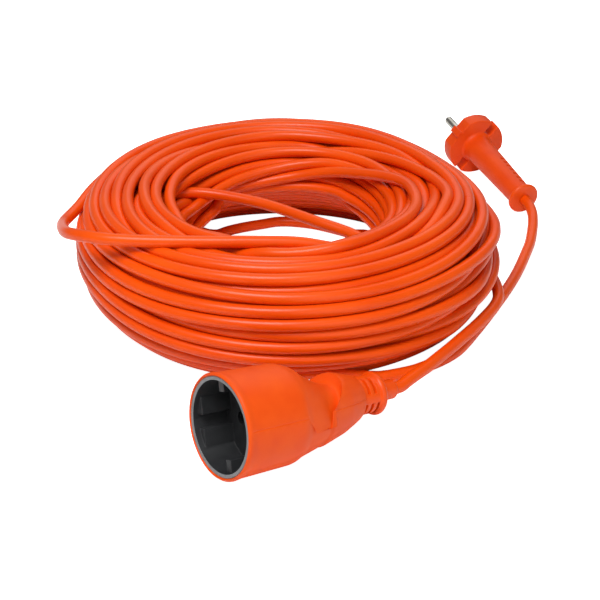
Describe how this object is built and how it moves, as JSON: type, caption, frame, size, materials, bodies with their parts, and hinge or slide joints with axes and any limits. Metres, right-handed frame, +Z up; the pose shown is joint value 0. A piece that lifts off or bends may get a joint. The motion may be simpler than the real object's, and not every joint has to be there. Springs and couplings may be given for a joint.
{
  "type": "extension cord",
  "caption": "Coiled two-core extension cord with a round moulded plug, and a straight coupler whose recessed socket takes the same kind of plug.",
  "frame": {"origin": "centre of the coil, on the floor", "axes": "+Z up; +Y from the coupler, in front of the coil, towards the plug behind it"},
  "size_m": [0.2588, 0.3709, 0.06],
  "materials": {
    "cord_sheath": "glossy flexible PVC",
    "moulded_cover": "satin moulded PVC",
    "insert_plastic": "fine matte",
    "cap_plastic": "matte",
    "contact_brass": "bare",
    "nickel": "nickel-plated brass",
    "core_brown": "smooth PVC",
    "core_blue": "smooth PVC",
    "copper": "stranded copper"
  },
  "bodies": {
    "cord_set": {"cord_coil": "cord_sheath", "cord_plug_tail": "cord_sheath", "cord_coupler_tail": "cord_sheath", "coupler_cover": "moulded_cover", "coupler_insert": "insert_plastic", "contact_cap": "cap_plastic", "coupler_boot": "cord_sheath", "left_contact_base": "contact_brass", "right_contact_base": "contact_brass", "coupler_sheath_end": "cord_sheath", "coupler_brown_core": "core_brown", "coupler_blue_core": "core_blue", "coupler_brown_copper": "copper", "coupler_blue_copper": "copper", "plug_cover": "moulded_cover", "pin_carrier": "insert_plastic", "left_pin": "nickel", "right_pin": "nickel", "plug_guard": "cord_sheath", "plug_sheath_end": "cord_sheath", "plug_brown_core": "core_brown", "plug_blue_core": "core_blue", "plug_brown_copper": "copper", "plug_blue_copper": "copper"},
    "left_top_leaf": {"left_leaf_top": "nickel"},
    "left_bottom_leaf": {"left_leaf_bottom": "nickel"},
    "right_top_leaf": {"right_leaf_top": "nickel"},
    "right_bottom_leaf": {"right_leaf_bottom": "nickel"}
  },
  "joints": [
    {"name": "left_top_leaf_flex", "type": "hinge", "parent": "cord_set", "child": "left_top_leaf", "pos_m": [0.00751, -0.15724, 0.02747], "axis": [-0.5976, 0.7119, -0.3689], "range_deg": [0, 2.5], "stiffness_Nm_per_rad": 5},
    {"name": "left_bottom_leaf_flex", "type": "hinge", "parent": "cord_set", "child": "left_bottom_leaf", "pos_m": [0.00816, -0.1601, 0.02089], "axis": [0.5976, -0.7119, 0.3689], "range_deg": [0, 2.5], "stiffness_Nm_per_rad": 5},
    {"name": "right_top_leaf_flex", "type": "hinge", "parent": "cord_set", "child": "right_top_leaf", "pos_m": [-0.00384, -0.14371, 0.02046], "axis": [-0.5976, 0.7119, -0.3689], "range_deg": [0, 2.5], "stiffness_Nm_per_rad": 5},
    {"name": "right_bottom_leaf_flex", "type": "hinge", "parent": "cord_set", "child": "right_bottom_leaf", "pos_m": [-0.0032, -0.14657, 0.01388], "axis": [0.5976, -0.7119, 0.3689], "range_deg": [0, 2.5], "stiffness_Nm_per_rad": 5}
  ]
}
